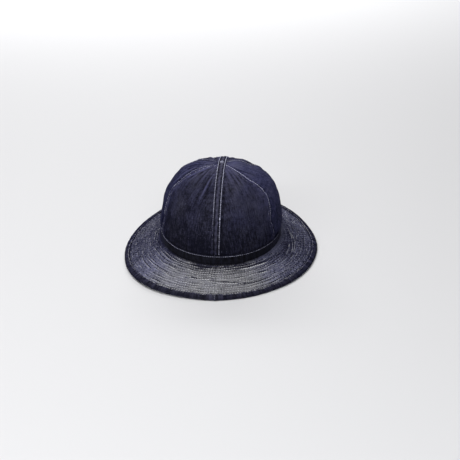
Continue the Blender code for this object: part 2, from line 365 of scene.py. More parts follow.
def crown_relief(angle, climb):
    """Metres that the cloth stands off the plain dome, laps left out."""
    angle = turn_between(angle, 0.0)
    x, y, z = dome(angle, climb).T
    radius, sides = np.hypot(x, y), np.sin(angle) ** 2
    rise = PANEL_PUFF * panel_share(angle, climb) * np.sin(math.pi * climb)
    rise += fold_rise(angle, climb) * smooth(0.004, 0.024, radius)
    rise += (0.30 * ripples(11, 0.034, x, y, z) + 0.10 * ripples(14, 0.012, x, y, z)) * MM
    # fullness gathered at the tip, and a hollow on both sides of the felled seam behind the tip
    gathers = smooth(0.35, 0.8, climb) * smooth(0.006, 0.03, radius)
    rise += 0.20 * MM * gathers * ring_ripples(12, 38, angle, count=14)
    rise += TIP_RISE * bell(radius, 0, 0.010)
    beside = np.maximum(np.abs(x - FELL_MIDDLE) - FELL_HALF, 0) / 0.006
    rise -= 1.7 * MM * beside * np.exp(1 - beside) * bell(y, 0.022, 0.02)
    # the foot blouses over the band and is drawn in under it
    rise += (1.0 + 0.7 * sides) * MM * bell(z, 0.024, 0.011)
    rise -= (0.7 + 0.9 * sides**2) * MM * (1 - smooth(0.009, 0.017, z))
    rise += 0.14 * MM * bell(z, 0.018, 0.012) * ring_ripples(13, 62, angle, count=14)
    # puckers beside every seam
    for which in SIDE_SEAMS:
        away = np.abs(from_seam(which, angle, climb))
        pucker = ripples(20 + which, 0.0065, climb * PUCKER_LENGTH, away * 0.45)
        rise += 0.26 * MM * np.exp(-away / 0.007) * pucker * smooth(0.004, 0.03, radius)
    away = np.maximum(np.abs(x - FELL_MIDDLE) - 0.005, 0)
    pucker = ripples(31, 0.0075, climb * PUCKER_LENGTH, away * 0.4) * smooth(0.008, 0.03, radius)
    return rise + 0.20 * MM * np.exp(-away / 0.008) * pucker


RING = (np.linspace(-3, 3, 400), np.full(400, 0.6))
sample = crown_relief(*RING) / MM
print("relief at climb 0.6 runs from", round(sample.min(), 1), "to", round(sample.max(), 1), "mm")


# %% Laps
def lap_lift(angle, climb):
    """Front and back panels are folded under and stitched down on top of the side panels."""
    radius = np.linalg.norm(dome(angle, climb)[..., :2], axis=-1)
    lift = 0.0
    for which in SIDE_SEAMS:
        away = from_seam(which, angle, climb)
        edge = np.sqrt(1 - (1 - np.clip(away / LAP_RISE, 0, 1)) ** 2)
        fold = edge * (1 - smooth(LAP_WIDTH - 1.2 * MM, LAP_WIDTH + 1.2 * MM, away)) * (away > 0)
        grooves = sum(bell(away, row, 0.55 * MM) for row in LAP_ROWS)
        lift += LAP_RISE * fold - LAP_GROOVE * grooves
    return lift * smooth(0.007, 0.022, radius)


def crown_surface(angle, climb):
    normal = slopes_to_normal(dome, angle, np.clip(climb, 2 * SLOPE_STEP, 1 - 2 * SLOPE_STEP))
    return raised(dome(angle, climb), normal, crown_relief(angle, climb) + lap_lift(angle, climb))


print("laps are", LAP_WIDTH / MM, "mm wide and stand", LAP_RISE / MM, "mm proud")


# %% Ridges and hollows
def standing_out(angle, climb):
    """Above zero on ridges and below zero in hollows, about -1 to 1."""
    turn = RIDGE_REACH / np.maximum(span_per_turn(angle, climb), 6 * MM)
    up = RIDGE_REACH / WEAVE_LENGTH
    around = crown_relief(angle - turn, climb) + crown_relief(angle + turn, climb)
    along = crown_relief(angle, climb - up) + crown_relief(angle, climb + up)
    return (crown_relief(angle, climb) - (around + along) / 4) / (0.3 * MM)


print("ridges at climb 0.6 stand out by up to", round(standing_out(*RING).max(), 1))

# %% [markdown]
# ## From a grid to a piece of cloth
# Every piece of cloth starts as one flat `create_grid`. A place function lays its points on the
# hat, and Solidify gives the cloth its wall. Two attributes go with each such mesh: `weave` says
# where a point lay on the flat cloth, in metres, and a second one says how pale the surface is,
# both from rubbing and from painted light and shade.
# Some pieces get a third one, `aged`, for cloth that has gone grey or stayed blue.


# %% Grids and pieces
def as_mesh(work, name):
    mesh = bpy.data.meshes.new(name)
    work.to_mesh(mesh)
    work.free()
    return mesh


def in_scene(name, data):
    made = bpy.data.objects.new(name, data)
    bpy.context.scene.collection.objects.link(made)
    return made


def flat_grid(name, columns, rows):
    grid = bmesh.new()
    bmesh.ops.create_grid(grid, x_segments=columns, y_segments=rows, size=0.5)
    mesh = as_mesh(grid, name)
    corners = np.empty(len(mesh.vertices) * 3, np.float32)
    mesh.vertices.foreach_get("co", corners)
    across, along = corners.reshape(-1, 3)[:, :2].astype(float).T + 0.5
    return mesh, across, along


def add_values(mesh, name, values):
    kind, field = ("FLOAT", "value") if values.ndim == 1 else ("FLOAT_VECTOR", "vector")
    layer = mesh.attributes.new(name, kind, "POINT")
    layer.data.foreach_set(field, values.astype(np.float32).ravel())


def dressed(name, mesh, material, nodes, wall=0.0):
    """Makes a mesh a piece with a wall and a material, and hands it to the frame."""
    mesh.materials.append(material)
    mesh.shade_smooth()
    piece = in_scene(name, mesh)
    if wall:
        solid = piece.modifiers.new("wall", "SOLIDIFY")
        solid.thickness = wall
        solid.offset = -1.0
        solid.use_even_offset = False
    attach(piece, "root")
    if nodes:
        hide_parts(*nodes)
    print(name, "has about", len(mesh.polygons) * (4 if wall else 2), "triangles")


def cloth_piece(name, mesh, points, weave, wear_and_shading, wall, material, nodes):
    """Lays the points of a grid on the hat, with their attributes, and dresses it."""
    mesh.vertices.foreach_set("co", laid(points).astype(np.float32).ravel())
    add_values(mesh, "weave", np.column_stack([*weave, 0 * weave[0]]))
    add_values(mesh, "wear_and_shading", wear_and_shading)
    mesh.update()
    dressed(name, mesh, material, nodes, wall)


# %% [markdown]
# ## Shader maths
# A small class wraps a socket, so shader maths reads like ordinary maths. Each operator adds
# one Math node, `node` makes any other node, and `blend` mixes two colours. A Mix node has its
# colours at sockets 6 and 7, and gives the mixed colour at socket 2.

# %% Shader helper
COLOR_A, COLOR_B, COLOR_OUT = 6, 7, 2


class Maths:
    def __init__(self, tree, socket):
        self.tree = tree
        self.socket = socket

    def node(self, kind, settings, inputs, out=0):
        made = self.tree.nodes.new(kind)
        for name, value in settings.items():
            setattr(made, name, value)
        for name, value in inputs.items():
            if isinstance(value, Maths):
                self.tree.links.new(value.socket, made.inputs[name])
            else:
                made.inputs[name].default_value = value
        return Maths(self.tree, made.outputs[out])

    def _do(self, operation, *values):
        return self.node("ShaderNodeMath", {"operation": operation}, dict(enumerate(values)))

    def __add__(self, other):
        return self._do("ADD", self, other)

    __radd__ = __add__

    def __sub__(self, other):
        return self._do("SUBTRACT", self, other)

    def __rsub__(self, other):
        return self._do("SUBTRACT", other, self)

    def __mul__(self, other):
        return self._do("MULTIPLY", self, other)

    __rmul__ = __mul__

    def sine(self):
        return self._do("SINE", self)

    def clamp(self):
        return self.node("ShaderNodeClamp", {}, {"Value": self})

    def step(self, low, high):
        """A soft step from 0 at low to 1 at high."""
        settings = {"interpolation_type": "SMOOTHSTEP"}
        inputs = {"Value": self, "From Min": low, "From Max": high}
        return self.node("ShaderNodeMapRange", settings, inputs)

    def part(self, axis):
        return self.node("ShaderNodeSeparateXYZ", {}, {0: self}, axis)

    def join(self, second, third):
        """One vector from this value and two more."""
        return self.node("ShaderNodeCombineXYZ", {}, {0: self, 1: second, 2: third})

    def noise(self, scale, detail, rough):
        inputs = {"Vector": self, "Scale": scale, "Detail": detail, "Roughness": rough}
        return self.node("ShaderNodeTexNoise", {}, inputs)

    def blend(self, low, high):
        """A colour that goes from low to high as this value goes from 0 to 1."""
        low, high = (end if isinstance(end, Maths) else (*end, 1.0) for end in (low, high))
        settings = {"data_type": "RGBA", "clamp_factor": True}
        return self.node("ShaderNodeMix", settings, {0: self, COLOR_A: low, COLOR_B: high}, COLOR_OUT)


def start_material(name):
    material = bpy.data.materials.new(name)
    material.use_nodes = True
    return material, material.node_tree.nodes["Principled BSDF"]


def attribute(material, name, out="Fac"):
    start = Maths(material.node_tree, None)
    return start.node("ShaderNodeAttribute", {"attribute_name": name}, {}, out)


def finish_material(shader, color, height, bump, roughness, gloss):
    """Gives a shader its colour, the strength and depth of its bump, and its gloss."""
    inputs = {"Height": height, "Strength": bump[0], "Distance": bump[1]}
    normal = height.node("ShaderNodeBump", {}, inputs)
    height.tree.links.new(color.socket, shader.inputs["Base Color"])
    height.tree.links.new(normal.socket, shader.inputs["Normal"])
    shader.inputs["Roughness"].default_value = roughness
    shader.inputs["Specular IOR Level"].default_value = gloss


print("shader helper ready")

# %% [markdown]
# ## Denim
# Denim is a twill: dark blue warp threads lie over a pale weft, stepping sideways at each pick,
# so fine diagonal ribs show with pale specks between them. Old yarn is uneven, which draws
# streaks along the warp, and short pale neps stand out here and there. Where the cloth is rubbed
# the blue wears off the raised places. `tone` adds all of this up before it becomes a colour,
# once as blue cloth and once as cloth that has gone grey. A slow cloud mixes the two, `fading`
# says how much more grey the rubbed places are, and `aged` greys a part of a piece as a whole.

# %% Denim material
RIB_PITCH, PICK_PITCH = 0.78, 0.46  # mm


def denim(name, blue, grey, weft, grey_share, streaks, specks, fading=0.0):
    material, shader = start_material(name)
    weave = attribute(material, "weave", "Vector")
    wear_and_shading, aged = attribute(material, "wear_and_shading"), attribute(material, "aged")
    u, v = weave.part(0) * (1 / MM), weave.part(1) * (1 / MM)

    def spots(across, along, layer, detail, rough):
        """Noise with so many spots per millimetre across and along the warp."""
        return (u * across).join(v * along, layer).noise(1.0, detail, rough)

    slub = spots(0.55, 0.06, 0.0, 2.0, 0.55) - 0.5
    yarn = spots(0.9, 0.20, 4.0, 2.0, 0.6) - 0.5
    pick = spots(0.16, 1.1, 9.0, 1.0, 0.5) - 0.5
    mottle = spots(0.30, 0.24, 2.0, 3.0, 0.6) - 0.5
    cloud = spots(0.04, 0.035, 6.0, 2.0, 0.5) - 0.5
    nep = spots(0.75, 0.42, 13.0, 1.0, 0.5).step(0.68, 0.78)
    uneven = slub * 1.3 + yarn * 1.7 + pick * 0.8 + mottle * 0.6 + cloud * 0.5
    # the paleness attribute brings rubbing and painted light and shade into the tone
    tone = (wear_and_shading + uneven * streaks).clamp()
    ribs = ((u * 0.86 + v * 0.5) * (TURN / RIB_PITCH)).sine() * 0.5 + 0.5
    picks = ((v * 0.94 - u * 0.34) * (TURN / PICK_PITCH)).sine() * 0.5 + 0.5
    greyed = (cloud + mottle * 0.6 + wear_and_shading * fading + aged + grey_share).clamp()
    base = greyed.blend(tone.blend(*blue), tone.blend(*grey))
    speckle = ((1.0 - ribs) * picks).step(0.45, 0.95) * specks
    base = (speckle * (0.35 + tone) + nep * 0.3).clamp().blend(base, weft)
    height = ribs * 0.5 + picks * 0.18 + yarn * 0.9 + slub * 0.9
    finish_material(shader, base, height, (0.4, 0.4 * MM), 0.88, 0.015)
    return material


print("the twill repeats every", RIB_PITCH, "mm")

# %% Six denims
crown_blue = ((0.0052, 0.0055, 0.0150), (0.078, 0.079, 0.180))
crown_grey = ((0.0070, 0.0070, 0.0105), (0.085, 0.084, 0.122))
front_denim = denim("front_denim", crown_blue, crown_grey, (0.20, 0.20, 0.30), 0.60, 0.50, 0.15, -0.2)
strip_denim = denim("strip_denim", crown_blue, crown_grey, (0.24, 0.24, 0.30), 0.75, 0.60, 0.18)
side_blue = ((0.0048, 0.0053, 0.0200), (0.072, 0.076, 0.185))
side_denim = denim("side_denim", side_blue, crown_grey, (0.18, 0.18, 0.30), 0.12, 0.80, 0.09, 0.2)
band_denim = denim(
    "band_denim", ((0.0050, 0.0050, 0.0070), (0.030, 0.032, 0.062)),
    ((0.0050, 0.0050, 0.0065), (0.034, 0.034, 0.040)), (0.12, 0.12, 0.14), 0.6, 0.5, 0.10, -1.0,
)
brim_denim = denim(
    "brim_denim", ((0.0100, 0.0104, 0.0250), (0.200, 0.205, 0.318)),
    ((0.0120, 0.0122, 0.0205), (0.245, 0.246, 0.262)), (0.45, 0.45, 0.48), -0.10, 0.45, 0.20,
)
edge_denim = denim(
    "edge_denim", ((0.0060, 0.0060, 0.0165), (0.050, 0.050, 0.105)),
    ((0.0070, 0.0070, 0.0110), (0.055, 0.054, 0.075)), (0.20, 0.20, 0.26), 0.10, 0.55, 0.14,
)
print("denim materials:", [m.name for m in bpy.data.materials if m.name.endswith("denim")])

# %% [markdown]
# ## Thread
# The stitching is thick cotton, once white. It has greyed unevenly, and where it crosses raised
# cloth it has taken on blue. One attribute says how dark each stretch is, from soiling and, on the
# brim, from painted light and shade.


# %% Thread material
def cotton(name, clean, dirty_and_shaded):
    material, shader = start_material(name)
    soil_and_shade = attribute(material, "soil_and_shade")
    place = soil_and_shade.node("ShaderNodeTexCoord", {}, {}, "Object")
    blotch = place.noise(150.0, 3.0, 0.6)
    twist = place.noise(1800.0, 1.0, 0.5)
    color = (soil_and_shade + (blotch - 0.5) * 0.7).step(-0.1, 1.1).blend(clean, dirty_and_shaded)
    finish_material(shader, color, twist, (0.5, 0.2 * MM), 0.8, 0.25)
    return material


seam_cotton = cotton("seam_cotton", (0.67, 0.68, 0.88), (0.020, 0.020, 0.058))
brim_cotton = cotton("brim_cotton", (0.83, 0.83, 0.88), (0.030, 0.030, 0.090))
print("thread materials:", seam_cotton.name, brim_cotton.name)

# %% [markdown]
# ## Crown panels
# Each panel is cut like an orange segment and sewn along both edges. A grid does the job: its
# columns crowd near the seams, where the cloth bends most, and its rows climb to the tip. The
# front and back panels are folded under and lap over the side panels. Ridges are rubbed pale
# and hollows stay dark, so the paleness is measured partly from the relief itself. It also holds
# painted light: paler high up and on the wearer's left, darker at the foot, and a painted shadow
# beside the felled seam's step.

# %% Crown panels
FRONT_COLUMNS, PANEL_COLUMNS, PANEL_ROWS = 112, 66, 102
SEAM_COLUMNS, SEAM_STRIP = 14, 9 * MM
TIP_CLIMB = 0.965
PATTERN_SHIFT = 0.3
FORE_RIGHT_LINES, STRONG_CREASE = (1.3 * MM, 6.2 * MM), 0.45
PANELS = [
    # node, first seam, last seam, material
    ("crown_front_left", 0.0, FORE_LEFT, front_denim),
    ("crown_side_left", FORE_LEFT, AFT_LEFT, side_denim),
    ("crown_back_left", AFT_LEFT, math.pi, front_denim),
    ("crown_back_right", -math.pi, AFT_RIGHT, front_denim),
    ("crown_side_right", AFT_RIGHT, FORE_RIGHT, side_denim),
    ("crown_front_right", FORE_RIGHT, 0.0, front_denim),
]


def crown_wear_and_light(angle, climb):
    """How pale the crown is: rubbed pale on ridges and creases, paler high up and darker at the foot
    partly from painted top light, with painted light on the wearer's left and a painted shadow beside
    the felled seam.
    """
    ridge = np.clip(standing_out(angle, climb), -1, 1)
    x, y, z = dome(angle, climb).T
    left = np.sin(angle)
    strong_creases = [row for row in CREASES if row[-1] > STRONG_CREASE]
    # paler high up and darker at the foot, partly wear and partly painted top light and foot shade;
    # painted light on the wearer's left side, painted shade on the right side high up
    rubbed_and_lit = 0.19 + 0.25 * smooth(0.30, 0.90, climb) - 0.22 * (1 - smooth(0.05, 0.36, climb))
    rubbed_and_lit += 0.20 * smooth(0.66, 0.92, climb) + 0.19 * left * climb + 0.10 * left**4
    rubbed_and_lit += 0.13 * np.clip(left, 0, 1) * (1 - smooth(0.30, 0.60, climb))
    # a painted shadow on the panel just past the felled seam's folded edge
    rubbed_and_lit -= 0.18 * bell(x, FELL_MIDDLE + FELL_HALF + 1.6 * MM, 1.8 * MM)
    rubbed_and_lit += 0.6 * along_lines(strong_creases, angle, climb)
    rubbed_and_lit += along_lines(PALE_AND_SHADED_LINES, angle, climb)
    rubbed_and_lit += (0.09 + 0.18 * climb) * ridge + 0.03 * ripples(41, 0.022, x, y, z)
    for which in SIDE_SEAMS:
        away = from_seam(which, angle, climb)
        rubbed_and_lit += 0.25 * bell(away, 0.8 * MM, 0.9 * MM) - 0.20 * bell(away, -1.2 * MM, 1.4 * MM)
    away = from_seam(FORE_RIGHT, angle, climb)
    lines = sum(bell(away, line, 1.4 * MM) for line in FORE_RIGHT_LINES)
    return rubbed_and_lit + 0.34 * lines * smooth(0.10, 0.35, climb) * (1 - smooth(0.90, 0.98, climb))


# the mean holds wear and painted light together
print("at climb 0.6 the crown is rubbed by", round(crown_wear_and_light(*RING).mean(), 2), "on average")

# %% Six panels
foot_climb = climb_at(CLEARANCE)
for name, first, last, material in PANELS:
    columns = FRONT_COLUMNS if "front" in name else PANEL_COLUMNS
    mesh, across, along = flat_grid(name, columns, PANEL_ROWS)
    climb = foot_climb + (TIP_CLIMB - foot_climb) * along
    low, high = edge_angle(first, climb), edge_angle(last, climb)
    span = span_per_turn((low + high) / 2, climb)
    width = (high - low) * span
    strip = np.minimum(SEAM_STRIP / width, 0.3)
    near = across * columns / SEAM_COLUMNS * strip
    middle = (across * columns - SEAM_COLUMNS) / (columns - 2 * SEAM_COLUMNS)
    far = 1 - (1 - across) * columns / SEAM_COLUMNS * strip
    share = np.where(middle < 0, near, np.where(middle > 1, far, strip + (1 - 2 * strip) * middle))
    slack = CLEARANCE / 2 / span
    angle = low + slack + (high - low - 2 * slack) * share
    points, _ = crown_surface(angle, climb)
    weave = ((share - 0.5) * width + PATTERN_SHIFT * first, climb * WEAVE_LENGTH)
    front_sides = -0.45 * smooth(0.70, 0.95, np.abs(np.sin(angle))) * ("front" in name)
    add_values(mesh, "aged", front_sides + 0.22 * smooth(0.55, 0.80, climb) * ("side" in name))
    wear_and_shading = crown_wear_and_light(angle, climb)
    cloth_piece("dressed_" + name, mesh, points, weave, wear_and_shading, PANEL_WALL, material, [name])

# %% [markdown]
# ## The felled seam
# Over the top the two halves of the crown are joined by a felled seam: one edge is folded round
# the other and stitched flat with two rows. It reads as a raised strip with a sharp step on one
# side. The strip is found by sliding each grid point sideways and dropping it back on the dome.

# %% Felled seam
FELL_ROWS, FELL_WALL = (-4.5 * MM, 4.5 * MM), 0.5 * MM
FELL_END = float(climb_at(BAND_HEIGHT)) + 0.004
FELL_GRID = (24, 340)
SPINE_STEP, DROP_STEP, DROP_ROUNDS = 1e-3, 1e-6, 12


def dome_value(point):
    """Below zero inside the dome, above zero outside."""
    x, y, z = point.T
    across = np.hypot(x / HALF_WIDTH, y / HALF_LENGTH) ** TOP_ROUNDNESS
    return across + np.clip(z / HEIGHT, 0, None) ** fullness_at(angle_of(x, y)) - 1


def fell_surface(side, way, lift):
    """side is metres off the seam's middle, and way runs from -1 at the front to 1 at the back."""
    travel = way * (1 - FELL_END)

    def spine(at):
        return dome(np.where(at < 0, 0.0, math.pi), 1 - np.abs(at))

    tangent = unit(spine(travel + SPINE_STEP) - spine(travel - SPINE_STEP))
    normal = unit(np.cross(np.array([1.0, 0, 0]), tangent))
    point = spine(travel) + np.stack([side + FELL_MIDDLE, 0 * side, 0 * side], -1)
    for _ in range(DROP_ROUNDS):
        value = dome_value(point)
        slope = (dome_value(point + normal * DROP_STEP) - value) / DROP_STEP
        point = point - normal * (value / slope)[..., None]
    x, y, z = point.T
    return raised(point, normal, crown_relief(angle_of(x, y), climb_at(z)) + lift)


def fell_lift(side, way):
    """The strip's height over the panels: thickest at the tip, where all the edges meet."""
    left = smooth(-FELL_HALF, -FELL_HALF + 1.2 * MM, side)
    right = np.sqrt(np.clip((FELL_HALF - side) / (0.9 * MM), 0, 1))
    grooves = sum(bell(side, row, 0.7 * MM) for row in FELL_ROWS)
    body = 0.55 + 0.45 * smooth(-1.0 * MM, 3.0 * MM, side) + 0.22 * bell(side, 0.4 * MM, 1.2 * MM)
    body += 0.9 * bell(way, 0.04, 0.20)
    crease = 0.16 * ripples(51, 0.007, way * WEAVE_LENGTH, side * 0.7)
    return (body * left * (0.2 + 0.8 * right) - 0.30 * grooves + crease * left * right) * MM


mesh, across, along = flat_grid("centre_seam", *FELL_GRID)
side = FELL_HALF * (2 * across - 1)
way = 2 * along - 1
points, _ = fell_surface(side, way, fell_lift(side, way))
# the folded edge and the middle ridge are rubbed pale; the grooves inside the rows get painted shade,
# and the strip is paler near the tip and darker at both ends, partly painted top light
wear_and_shading = 0.30 + 0.12 * bell(side, FELL_HALF - 0.6 * MM, 0.7 * MM)
wear_and_shading += 0.26 * bell(side, 0.2 * MM, 1.1 * MM)
wear_and_shading -= 0.32 * sum(bell(side, row * 0.64, 0.8 * MM) for row in FELL_ROWS)
wear_and_shading += 0.16 * (1 - np.abs(way)) - 0.16 * smooth(0.70, 0.95, np.abs(way))
wear_and_shading += 0.08 * ripples(52, 0.006, way * WEAVE_LENGTH, side)
weave = (side, way * WEAVE_LENGTH)
cloth_piece("dressed_centre_seam", mesh, points, weave, wear_and_shading, FELL_WALL, strip_denim, ["centre_seam"])

# %% [markdown]
# ## The band
# The band is a strip folded along its top edge and stitched round once. Its ends meet at the
# back. It is drawn tight, so the crown blouses over it, and it is the darkest part of the hat.

# %% Band
BAND_LIFT = 0.75 * MM + BAND_WALL
BAND_ROW, BAND_RADIUS, BAND_GRID = 1.3 * MM, 93 * MM, (500, 13)


def band_surface(angle, height):
    climb = climb_at(height)
    normal = slopes_to_normal(dome, angle, np.clip(climb, 2 * SLOPE_STEP, 1))
    top = np.clip((BAND_HEIGHT - height) / (0.9 * MM), 0, 1)
    rolled = 0.5 + 0.5 * np.sqrt(1 - (1 - top) ** 2)
    from_row = height - (BAND_HEIGHT - BAND_ROW)
    rise = 0.12 * ring_ripples(61, 95, angle) * bell(from_row, 0, 3.0 * MM)
    rise += 0.12 * ring_ripples(62, 26, angle) * smooth(0, BAND_HEIGHT, height)
    rise -= 0.25 * bell(from_row, 0, 0.6 * MM)
    snug = 1.1 * MM * np.sin(angle) ** 4
    return raised(dome(angle, climb), normal, (BAND_LIFT - snug) * rolled + rise * MM)


mesh, across, along = flat_grid("band", *BAND_GRID)
angle = -math.pi + TURN * across
height = CLEARANCE + (BAND_HEIGHT - CLEARANCE) * along
points, _ = band_surface(angle, height)
wear_and_shading = 0.20 + 0.22 * bell(height, BAND_HEIGHT, 0.8 * MM) + 0.05 * ring_ripples(63, 60, angle)
wear_and_shading += 0.35 * smooth(0.45, 0.95, np.sin(angle) ** 2)
weave = (angle * BAND_RADIUS, height)
cloth_piece("dressed_band", mesh, points, weave, wear_and_shading, BAND_WALL, band_denim, ["band"])

# %% [markdown]
# ## The brim's surface
# The brim slopes down from the band, its edge rises and falls round the hat, and it was cut a
# little wider on one side. Two layers of denim are held together by rows of stitching, so the
# cloth between two rows stands up in a soft cord, and every cord is crinkled where the thread
# drew it in. A few stretches of thread lie loose and white across the rows, and a few creases
# have painted shade, as the cloth has no groove there. Both are in one table of short lines.

# %% Brim tables
DROP_WAVES = [
    # lobes, share of the drop, angle of a lowest place in degrees
    (1, 0.195, -40.0),
    (2, 0.188, 88.0),
    (3, 0.107, 6.0),
]
WIDTH_WAVES = [
    # lobes, share of the width, angle of a widest place in degrees
    (1, 0.032, -88.0),
    (2, 0.025, -45.0),
    (3, 0.0125, -47.0),
]
EDGE_TABLE = [
    # angle in degrees, then how much wider and higher the edge wanders there, in mm
    (-180, 1.5, 0.6),
    (-150, 2.0, 1.0),
    (-127, 1.8, 1.2),
    (-114, 2.6, 1.7),
    (-95, 1.8, 0.5),
    (-72, -0.2, 0.0),
    (-52, 2.0, 0.0),
    (-37, 2.8, 0.0),
    (-26, 1.9, 0.0),
    (-16, 0.0, 0.0),
    (-6, 0.6, 0.0),
    (0, 1.8, 0.0),
    (20, 1.9, 0.0),
    (33, 1.4, 0.0),
    (47, 2.4, 0.0),
    (61, 1.6, 0.0),
    (78, 1.0, 0.0),
    (99, 2.2, 0.3),
    (119, 1.6, 0.8),
    (134, 2.4, 1.2),
    (150, 2.2, 1.0),
]
BRIM_LINES = [
    # angle in degrees and mm from the foot at both ends, then how bare a thread is there, or
    # below zero how dark the painted shade of a crease is
    (-19, 27.0, 2, 24.2, 1.0),
    (-21, 6.6, 0, 5.0, -0.5),
    (-18, 9.9, -1, 7.2, -0.5),
    (-12, 15.0, 2, 14.0, -0.4),
    (10, 32.2, 38, 33.6, -0.9),
    (1, 28.8, 18, 32.0, 0.9),
    (17, 10.4, 47, 13.0, 1.0),
    (31, 23.6, 40, 24.6, 0.9),
    (-47, 30.6, -28, 31.6, 0.6),
    (-45, 20.0, -26, 20.4, 0.6),
    (-82, 17.0, -66, 16.6, 0.25),
    (103, 11.6, 84, 17.6, 0.35),
    (88, 16.4, 68, 23.6, 0.35),
    (101, 13.6, 84, 21.0, 0.3),
    (88, 19.8, 69, 25.6, 0.35),
    (80, 14.4, 62, 20.0, 0.3),
    (97, 16.6, 75, 23.0, -0.6),
]
BINDING_WIDTH = 4.3 * MM
ROWS = 14
FIRST_ROW, LAST_ROW = 3.6 * MM, 0.9 * MM
BRIM_JOIN = math.radians(1.8)
print("the brim has", ROWS, "rows and", len(BRIM_LINES), "loose threads and creases")


# %% Brim shape
def edge_wander(angle, column):
    """The wandering of the hand-cut edge, in metres."""
    return read_round(EDGE_TABLE, angle, 5, column) * MM


def varied(length, waves, angle):
    return length * (1 + sum(share * np.cos(n * (angle - math.radians(at))) for n, share, at in waves))


def foot_and_outward(angle):
    across, along = np.sin(angle), -np.cos(angle)
    foot = np.stack([HALF_WIDTH * across, HALF_LENGTH * along, 0 * along], -1)
    return foot, unit(np.stack([across / HALF_WIDTH, along / HALF_LENGTH, 0 * along], -1))


def brim_drop(angle):
    return varied(BRIM_DROP, DROP_WAVES, angle)


def brim_reach(angle):
    level = np.sqrt(varied(BRIM_WIDTH, WIDTH_WAVES, angle) ** 2 - brim_drop(angle) ** 2)
    return level + edge_wander(angle, 1)


def plan_at(angle, out):
    """The place level with the crown's foot from which the brim falls."""
    foot, outward = foot_and_outward(angle)
    return foot + outward * out[..., None]


def brim_plain(angle, out):
    share = np.maximum(out, 0) / brim_reach(angle)
    fall = brim_drop(angle) * share * (1 + BRIM_BOW_SHARE * (1 - share))
    fall -= edge_wander(angle, 2) * share**2
    return plan_at(angle, out) - np.stack([0 * fall, 0 * fall, fall], -1)


def brim_normal(angle, out):
    return -slopes_to_normal(brim_plain, angle, out)


print("at the front the brim reaches", round(float(brim_reach(0.0)) / MM, 1), "mm out")


# %% Rows and cords
def binding_leg(angle):
    """How far the binding reaches in from the edge, least at the front."""
    return BINDING_WIDTH * (1 + 0.33 * (1 - np.cos(angle)))


def beside_lines(angle, out, spread, bare):
    """How much the bare threads, or the creases, lie within about spread of a place."""
    degrees, total = np.degrees(turn_between(angle, 0)), 0.0
    for at, place, to, end_place, tone in BRIM_LINES:
        share = (degrees - at) / (to - at)
        ends = smooth(-0.05, 0.35, share) * (1 - smooth(0.65, 1.05, share))
        line = (place + (end_place - place) * np.clip(share, 0, 1)) * MM
        total += max(tone if bare else -tone, 0) * ends * bell(out, line, spread)
    return total


def beside_join(angle, out, spread, shift=0.0):
    """1 on the join at the front, falling away within about spread."""
    return bell(turn_between(angle, BRIM_JOIN) * (HALF_LENGTH + out), shift, spread)


def row_place(angle, row):
    """How far out stitching row number row lies, wandering a little as hand-guided rows do."""
    foot, _ = foot_and_outward(angle)
    wander = 0.20 * ripples(71, 0.05, foot[..., 0], foot[..., 1], row * 0.012)
    wander *= smooth(-0.5, 1, row) * (1 - smooth(ROWS - 2, ROWS - 1, row))
    last = brim_reach(angle) - binding_leg(angle) - LAST_ROW
    return FIRST_ROW + (last - FIRST_ROW) * (row + wander) / (ROWS - 1)


def row_number(row):
    return np.floor(np.clip(row, 0, ROWS - 1) + 1e-6)


def row_strength(angle, row):
    """How much a row and the cord outside it stand out, about -1 to 1."""
    number = row_number(row)
    long = ring_ripples(72, 8, angle, number, count=8)
    return long * 0.48 + ring_ripples(78, 34, angle, number) * 0.36


def row_shows(angle, row):
    """The same from 0 to 1."""
    return smooth(-0.2, 1.0, row_strength(angle, row))


def crinkle(angle, number):
    """Short puckers along one cord, about -1 to 1."""
    return 0.7 * ring_ripples(73, 195, angle, number) + 0.3 * ring_ripples(74, 105, angle, number)


def cord_height(angle, row):
    """The puffed cord between two rows, crinkled across, in metres."""
    phase = np.clip(row, 0, ROWS - 1)
    number = np.floor(np.minimum(phase, ROWS - 1.001))
    puff = np.abs(np.sin(math.pi * phase)) ** 0.75
    strength = 0.60 + 0.18 * row_strength(angle, number) + 0.32 * crinkle(angle, number)
    fade = smooth(-0.6, 0.0, row) * (1 - smooth(ROWS - 1, ROWS - 0.6, row))
    return strength * puff * fade * MM


def brim_at(angle, out, rise):
    x, y, _ = plan_at(angle, out).T
    swell = 0.30 * MM * ripples(75, 0.016, x, y) * smooth(0, 6 * MM, out)
    return raised(brim_plain(angle, out), brim_normal(angle, out), rise + swell)


front = np.zeros(1)
pitch = float((row_place(front, front + 1) - row_place(front, front))[0]) / MM
print("rows at the front are about", round(pitch, 1), "mm apart")

# %% [markdown]
# ## Two brim halves
# The brim is cut as two half rings and joined at the front and the back. The grid's rows follow
# the stitching, so that each groove falls on a line of vertices and stays crisp. The cloth just
# outside a row gets a painted highlight, and just inside the next one a painted shade, as on lit
# cords and shaded grooves. The front is pale all over, partly from wear and partly from painted
# front light, while the sides stay darker and blue.

# %% How pale the brim is, from wear and painted light and shade
PALE_TABLE = [
    # angle in degrees, how pale the brim is there, partly wear and partly painted front light
    (-180, 0.34),
    (-150, 0.28),
    (-122, 0.18),
    (-95, 0.10),
    (-72, 0.11),
    (-52, 0.38),
    (-37, 0.76),
    (-20, 0.92),
    (20, 0.88),
    (37, 0.64),
    (55, 0.32),
    (75, 0.08),
    (99, 0.14),
    (122, 0.33),
    (150, 0.34),
]


def paleness(angle):
    return read_round(PALE_TABLE, angle, 8)


